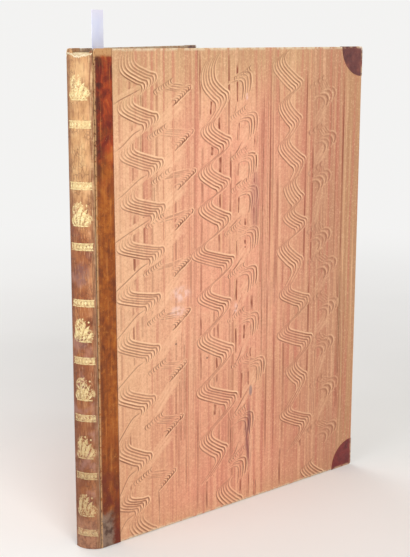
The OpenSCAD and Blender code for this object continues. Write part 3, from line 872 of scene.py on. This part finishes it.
def thin(strips, a, b, profile, rng, force, height, most):
    """A slightly bowed stroke from a to b."""
    bent = rng.uniform(-1.0, 1.0)
    shares = [i / THIN_STEPS for i in range(THIN_STEPS + 1)]
    line = [a.lerp(b, t) + mm(bent, bent) * math.sin(math.pi * t) for t in shares]
    strength = [most * min(1.0, 6 * t, 3 * (1 - t)) * force(p, 0) for t, p in zip(shares, line)]
    strips.lay(line, profile, strength, height)


def fine_comb(strips, turns, rng, force, column):
    """Eight short ticks at the left, eight hooks at the right, and broad soft bands on the way back."""
    hook = FINE_HOOKS[column]
    step = FINE_RIGHT[column]
    profile = SOFT if column == 2 else FINE
    for i, (left, right) in enumerate(turns):
        for tooth in range(FINE_TEETH):
            ends = ((left + FINE_LEFT * tooth, FINE_BEND, 0.5, 0.42, 0.8),
                    (right - step * tooth, hook, 0.62, 0.55, 1.0))
            for at, points, peak, reach, most in ends:
                if tooth % 2 and (column == 2 or column == 1 and points is hook):
                    continue
                line = spline(around(at + wobble(rng, 0.4), points), 6)
                n = len(line)
                even = rng.uniform(0.8, 1.0) + 0.25 * (column == 1 and tooth in (0, FINE_TEETH - 1))
                strength = []
                for k, p in enumerate(line):
                    t = k / (n - 1)
                    rise = max(0.0, 1.0 - abs(t - peak) / reach) ** 0.7
                    strength.append(rise * force(p, tooth) * even * most)
                size = 1.3 if column == 1 and points is hook else 1.0
                widths = [size * (0.55 + 0.45 * min(1.0, v * 1.5)) for v in strength]
                strips.trace(line, profile, strength, FINE_LIFT + tooth * FINE_STACK, widths)
        # the upper teeth can be followed across, and the gathered teeth leave bands
        for tooth in (4, 5, 6, 7):
            top = left + FINE_LEFT * tooth + mm(2, 3)
            over = right - step * (7 - tooth) + mm(-9, -0.8)
            thin(strips, top, over, FINE, rng, force, THIN_LIFT, 0.32)
        if i + 1 < len(turns):
            a = right - step * (FINE_TEETH - 1) * 0.45 + mm(-3, 9)
            b = turns[i + 1][0] + mm(9, -8)
            for shift in (-4.5, 3.0):
                down = mm(0, shift)
                thin(strips, a + down, b + down, BAND, rng, force, 0.05 + shift * 0.001, 0.9)
            if column == 1:
                low = right - step * (FINE_TEETH - 1) + mm(-4, 18)
                bow = low.lerp(b, 0.35) + mm(-2, 0)
                line = spline([low, bow, low.lerp(b, 0.75), b, b + mm(-5, 4)], 6)
                strips.trace(line, LINE, swell(line, 0.95, 2.5, 5, force), LINE_LIFT, [1.2] * len(line))


# Brush streaks: place from the joint, both ends under the head, how dark
STREAKS = [
    (34, 0, 470, 0.3), (49, 30, 48, 0.6), (52, 78, 165, 0.75), (53.5, 182, 272, 0.85),
    (51.5, 286, 372, 0.7), (45, 436, 496, 0.65), (45, 500, 522, 0.6), (61, 20, 120, 0.3),
    (66.5, 46, 130, 0.5), (67.5, 144, 270, 0.6), (64, 300, 332, 0.4), (79, 120, 330, 0.25),
    (86.5, 30, 172, 0.5), (87, 520, 572, 0.6), (97, 90, 330, 0.4), (111, 60, 280, 0.6),
    (114, 120, 500, 0.5), (118.5, 380, 540, 0.75), (124, 300, 470, 0.45), (131, 350, 540, 0.7),
    (137, 0, 330, 0.45), (143, 0, 430, 0.35), (151, 0, 86, 0.75), (155, 112, 190, 0.6),
    (154, 196, 300, 0.45), (153, 320, 345, 0.7), (153, 362, 400, 0.6), (148, 440, 572, 0.5),
    (163, 528, 572, 0.7), (168, 60, 78, 1.1), (170, 112, 126, 1.0), (174, 300, 420, 0.5),
    (174, 518, 530, 0.75), (176, 428, 450, 0.9), (178.5, 370, 408, 0.85), (181, 80, 99, 1.1),
    (182.5, 126, 149, 1.0), (183, 168, 192, 1.1), (181.5, 214, 244, 0.7), (180.5, 326, 352, 0.75),
    (183, 440, 500, 0.5), (196, 0, 120, 0.8), (199.4, 122, 212, 0.8), (199, 216, 520, 0.45),
    (205, 300, 560, 0.5), (209.6, 18, 68, 1.3), (211.6, 86, 112, 1.3), (211.8, 134, 154, 1.2),
    (212, 176, 200, 1.1), (211, 230, 258, 1.2), (210.5, 280, 310, 1.2), (210, 338, 376, 1.1),
    (220, 398, 440, 0.75), (219.5, 524, 562, 1.3), (224.5, 206, 218, 0.9), (224, 232, 244, 0.9),
    (223.5, 340, 360, 0.95), (226, 110, 260, 0.5), (239.5, 105, 120, 0.85), (239.5, 150, 164, 0.85),
    (239, 190, 216, 0.85), (236.5, 304, 324, 0.9), (234.5, 372, 388, 0.95), (232, 402, 422, 1.25),
    (232, 486, 522, 1.2), (233, 538, 572, 0.8), (245, 550, 574, 0.9), (240, 20, 220, 0.4),
    (250, 60, 400, 0.4), (257, 60, 520, 0.35), (265, 12, 292, 0.85), (262.5, 292, 530, 0.6),
    (270, 0, 240, 0.45), (276, 200, 330, 0.5), (279, 36, 140, 0.5), (278.5, 150, 300, 0.55),
    (276, 330, 520, 0.45), (289.5, 236, 300, 0.45), (293, 330, 520, 0.5), (289.5, 518, 575, 0.8),
    (310, 150, 200, 0.4), (325, 400, 512, 0.55), (327.5, 18, 292, 0.75), (326.5, 506, 526, 0.85),
    (337.5, 290, 442, 0.75), (340, 118, 286, 0.65), (343, 30, 112, 0.4), (350.5, 380, 500, 0.65),
    (360, 150, 330, 0.35), (372, 20, 150, 0.5), (376, 300, 420, 0.4), (384, 20, 290, 0.65),
    (395.5, 30, 290, 0.9), (392.5, 292, 444, 0.85), (393.5, 450, 486, 0.6), (401, 290, 520, 0.4),
    (406, 300, 520, 0.3),
]


def pressed(most, mean, beat, start, turn):
    """How hard the comb pressed: it varies down the board and from tooth to tooth."""
    return lambda p, tooth: most * (mean + (1 - mean) * math.sin(p.y * beat + start + tooth * turn))


BRUSH_POINTS = 24
BRUSH_WIDTHS = (0.8, 1.0, 1.2)


def dress(side):
    """Everything that comb and brush left on one cover."""
    rng = random.Random(41 if side == "front" else 87)
    brushed = Strips(side)
    for x, top, bottom, force in STREAKS:
        line, strength = [], []
        lean = rng.uniform(-0.5, 0.5)
        phase = rng.uniform(0, 6.28)
        for i in range(BRUSH_POINTS):
            t = i / (BRUSH_POINTS - 1)
            line.append(mm(x + lean * t + 0.35 * math.sin(phase + 5 * t), top + (bottom - top) * t))
            s = force * (0.95 + 0.3 * math.sin(phase + 9 * t)) * min(1.0, 8 * t, 8 * (1 - t))
            strength.append(max(0.03, s))
        wide = BRUSH_WIDTHS[int(x) % 3]
        brushed.lay(line, BRUSH, strength, BRUSH_LIFT, [wide] * BRUSH_POINTS)
    brushed.build(side + "_brush_streaks", 0.0)

    hooks = Strips(side)
    for c, column in enumerate(HOOKS):
        turns = [(mm(x, z), mm(u, w)) for x, z, u, w in column]
        fine_comb(hooks, turns, rng, pressed((1.3, 1.0, 0.85)[c], 0.8, 47, c, 0.8), c)
    hooks.build(side + "_fine_comb")

    waves = Strips(side)
    for c, column in enumerate(WAVES):
        turns = [(mm(x, z), mm(u, w), tall) for x, z, u, w, tall in column]
        comb(waves, turns, rng, pressed((1.0, 1.0, 0.85)[c], 0.85, 31, c * 2, 1), c > 0)
    obj = waves.build(side + "_comb_waves")
    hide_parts(side + "_waves")


for side in COVERS:
    dress(side)


# Leather and paper that cross the joints
def sheet(name, outline, low, high, material, slices=48):
    """A thin sheet that stands from low to high. outline: its closed section, points (x, y), in metres."""
    n = len(outline)
    verts = []
    for i in range(slices + 1):
        verts += [(x, y, low + (high - low) * i / slices) for x, y in outline]
    faces = ring_faces(slices, n)
    half = n // 2
    for start, turn in ((0, False), (slices * n, True)):
        for k in range(half - 1):
            q = (start + k, start + k + 1, start + n - 2 - k, start + n - 1 - k)
            faces.append(q if turn else q[::-1])
    return make(name, verts, faces, material)


def section(line, thickness):
    """Closed section of a sheet whose middle follows line."""
    near, far = [], []
    for i, p in enumerate(line):
        a, b = Vector(line[max(i - 1, 0)]), Vector(line[min(i + 1, len(line) - 1)])
        d = (b - a).normalized()
        n = Vector((-d.y, d.x)) * thickness / 2
        near.append(tuple(Vector(p) + n))
        far.append(tuple(Vector(p) - n))
    return near + far[::-1]


# The inner hinges: how far they reach onto pages and board, where they turn, how thick they are, how far
# they stand off, and their ends over the tail
LAP = 4.5 * MM
INNER_X = 0.9 * MM
HINGE_T = 0.06 * MM
HINGE_CLEAR = 0.08 * MM
HINGE_LOW, HINGE_HIGH = 4.5 * MM, 570.5 * MM


def inner_hinge(side, out, angle, steps, material):
    """The endpaper runs from the pages onto the board, drawn as it stands, turned as far as its cover is
    open.
    """
    page, liner = PAGE_Y + HINGE_CLEAR, LINER_Y - HINGE_CLEAR
    points = [(INNER_X + LAP, page, 0), (INNER_X + LAP / 2, page, 0)]
    points += [(INNER_X, page + (liner - page) * i / steps, i / steps) for i in range(steps + 1)]
    points += [(INNER_X + LAP / 2, liner, 1), (INNER_X + LAP, liner, 1)]
    line = [turned(x, out * y, angle * share) for x, y, share in points]
    obj = sheet(side + "_endpaper_hinge", section(line, HINGE_T), HINGE_LOW, HINGE_HIGH, MATERIALS[material])
    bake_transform(obj)


def back_joint():
    """The leather over the back joint."""
    over = 0.06 * MM
    skin = BOOK_T / 2 + over
    line = []
    for i in range(7):
        y = (13.2 + 1.9 * i / 6) * MM
        line.append((SPINE_X - math.sqrt((SPINE_R + over) ** 2 - y * y), y))
    line += [(0.25 * MM, 15.4 * MM), (0.6 * MM, 15.5 * MM)]
    line += [(1.0 * MM, skin), (1.6 * MM, skin), (2.6 * MM, skin)]
    obj = sheet("back_joint_leather", section(line, 0.08 * MM), 6 * MM, 570 * MM, MATERIALS["spine_calf"], 60)
    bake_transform(obj)


RINGS, SIDES = 110, 8


def front_ridge():
    """At the front joint the leather has cracked, and a ridge of it is left."""
    rng = random.Random(5)
    verts = []
    for i in range(RINGS + 1):
        z = (1.0 + 570 * i / RINGS) * MM
        r = (0.42 + 0.1 * math.sin(i * 0.9) + rng.uniform(-0.07, 0.07)) * MM
        cx, cy = -0.3 * MM, (-14.95 + rng.uniform(-0.05, 0.05)) * MM
        for k in range(SIDES):
            angle = 2 * math.pi * k / SIDES
            verts.append((cx + r * math.cos(angle), cy + r * math.sin(angle), z))
    faces = ring_faces(RINGS, SIDES)
    faces += [tuple(range(SIDES))[::-1], tuple(RINGS * SIDES + k for k in range(SIDES))]
    ridge = make("front_joint_ridge", verts, faces, MATERIALS["ridge"], "text_block")


inner_hinge("back", 1, 0.0, 12, "pastedown_back")
inner_hinge("front", -1, OPEN, 14, "hinge")
back_joint()
front_ridge()


# Torn edges
def spine_at(y, z, out):
    """A point on the rounded spine leather."""
    r = SPINE_R + out
    return (SPINE_X - math.sqrt(max(r * r - y * y, 0.0)), y, z)


# The torn head of the spine leather: share of the half width, and how far under the boards' head, in mm
TORN = ((1, 8), (0.93, 4.5), (0.8, 2), (0.65, 0.6), (0.52, 0.6), (0.46, 2.6), (0.38, 6.8), (0.2, 7.8),
        (0.05, 7), (-0.1, 8.2), (-0.25, 7), (-0.45, 6.2), (-0.6, 6.6), (-0.75, 5), (-0.88, 2.6), (-1, 2))
FRAY_STEPS = 90


def frayed_head():
    """Pale torn fibres along the head of the spine leather."""
    rng = random.Random(12)
    profile = [(share * SPINE_HALF / MM, BOARD_H / MM - depth) for share, depth in TORN]
    verts = []
    for i in range(FRAY_STEPS + 1):
        y = 15.1 - 30.0 * i / FRAY_STEPS
        for (a, za), (b, zb) in zip(profile, profile[1:]):
            if b <= y <= a:
                z = za + (zb - za) * (a - y) / (a - b)
        ragged = rng.uniform(-0.4, 0.4)
        z = min(z, 570.4 + 0.5 * math.sin(i * 0.21))
        drop = 1.9 + 0.5 * math.sin(i * 0.83) + 0.35 * math.sin(i * 2.1 + 1) + rng.uniform(-0.3, 0.3)
        over = ((0.1, -drop), (0.16, -drop * 0.5), (0.12, ragged), (-0.5, ragged * 0.5 + 0.3), (-1.0, -1.5))
        verts += [spine_at(y * MM, (z + rise) * MM, out * MM) for out, rise in over]
    faces = grid_faces(FRAY_STEPS + 1, len(over))
    obj = make("spine_head_fray", verts, faces, MATERIALS["fray"], "text_block")


frayed_head()


# Stage
FLOOR_REACH = 40.0
FLOOR_Z = -0.0005
PALE = (0.9, 0.895, 0.885, 1)
DUSTY = (0.88, 0.875, 0.865, 1)


def stage():
    """Pale floor: it takes the object's shadow, and far off it is as pale as the background."""
    r, low = FLOOR_REACH, FLOOR_Z
    m = surface("studio_floor", 0.05)
    p = m.place()
    x, y, _ = m.split(p)
    far = m.length(m.join(m.minus(x, 0.2), y, 0.0))
    spread = m.step(m.noise(p, 3), 0.3, 0.7)
    m.put(m.shader.inputs["Base Color"], m.mix(spread, PALE, DUSTY))
    m.put(m.shader.inputs["Roughness"], 0.9)
    glow = m.node("ShaderNodeEmission", (PALE,))
    shades = (m.step(far, 0.5, 2.2), m.shader.outputs[0], glow.outputs[0])
    m.put(m.out.inputs[0], m.node("ShaderNodeMixShader", shades).outputs[0])
    corners = [(-r, -r, low), (r, -r, low), (r, r, low), (-r, r, low)]
    make("studio_floor", corners, [(0, 1, 2, 3)], m.owner, smooth=False)


# Lamps: name, place, where each points, length of its side, power and colour
LAMPS = (
    ("key", (-1.7, -1.3, 1.6), (0.1, -0.1, 0.3), 1.3, 38, (1.0, 0.98, 0.95)),
    ("fill", (-1.6, 0.9, 1.2), (0.1, 0.0, 0.3), 1.6, 14, (1, 1, 1)),
    ("rear", (1.6, 1.6, 1.8), (0.2, 0.0, 0.3), 1.6, 18, (1, 1, 1)),
)
# Colour and strength of the surround: as it shines, and as it is seen
SURROUND = (((1.0, 0.98, 0.96, 1), 0.5), (PALE, 1.0))


def area(name, place, target, size, power, colour):
    """A square lamp that points at a target."""
    lamp = bpy.data.lights.new(name, "AREA")
    lamp.shape = "RECTANGLE"
    lamp.size = lamp.size_y = size
    lamp.energy = power
    lamp.color = colour
    obj = add(name, lamp)
    obj.location = place
    obj.rotation_mode = "QUATERNION"
    obj.rotation_quaternion = (Vector(target) - Vector(place)).to_track_quat("-Z", "Y")


def lights():
    """Soft lamps, and a pale surround that the camera sees lighter than it shines."""
    for lamp in LAMPS:
        area(*lamp)
    world = bpy.data.worlds.new("studio")
    bpy.context.scene.world = world
    m = Maker(world)
    rays = m.node("ShaderNodeLightPath").outputs
    seen = m.most(*(rays[kind] for kind in ("Is Camera Ray", "Is Glossy Ray", "Is Transmission Ray")))
    shone, shown = (m.node("ShaderNodeBackground", shade).outputs[0] for shade in SURROUND)
    mixed = m.node("ShaderNodeMixShader", (seen, shone, shown))
    m.node("ShaderNodeOutputWorld", (mixed.outputs[0],))


# The camera that took the photo, fitted to its vanishing points
CAMERA_AT = (-1.165, -0.522, 0.591)
YAW, PITCH, ROLL = math.radians(71.96), math.radians(11.93), math.radians(-0.14)
FOCAL_PIXELS = 1160
IMAGE_HEIGHT = 557
SENSOR = 36


def camera():
    """The photo's camera."""
    ahead = Vector((math.sin(YAW) * math.cos(PITCH), math.cos(YAW) * math.cos(PITCH), -math.sin(PITCH)))
    right = Vector((math.cos(YAW), -math.sin(YAW), 0))
    tilt = Matrix.Rotation(ROLL, 3, ahead)
    right, up = tilt @ right, tilt @ right.cross(ahead)
    cam = bpy.data.cameras.new("camera")
    cam.sensor_width = SENSOR
    cam.lens = FOCAL_PIXELS * SENSOR / IMAGE_HEIGHT
    cam.clip_start, cam.clip_end = 0.05, 50
    obj = add("camera", cam)
    turn = Matrix((right, up, -ahead)).transposed()
    obj.matrix_world = Matrix.Translation(CAMERA_AT) @ turn.to_4x4()
    bpy.context.scene.camera = obj


stage()
lights()
camera()
bpy.context.scene.view_settings.view_transform = "Standard"
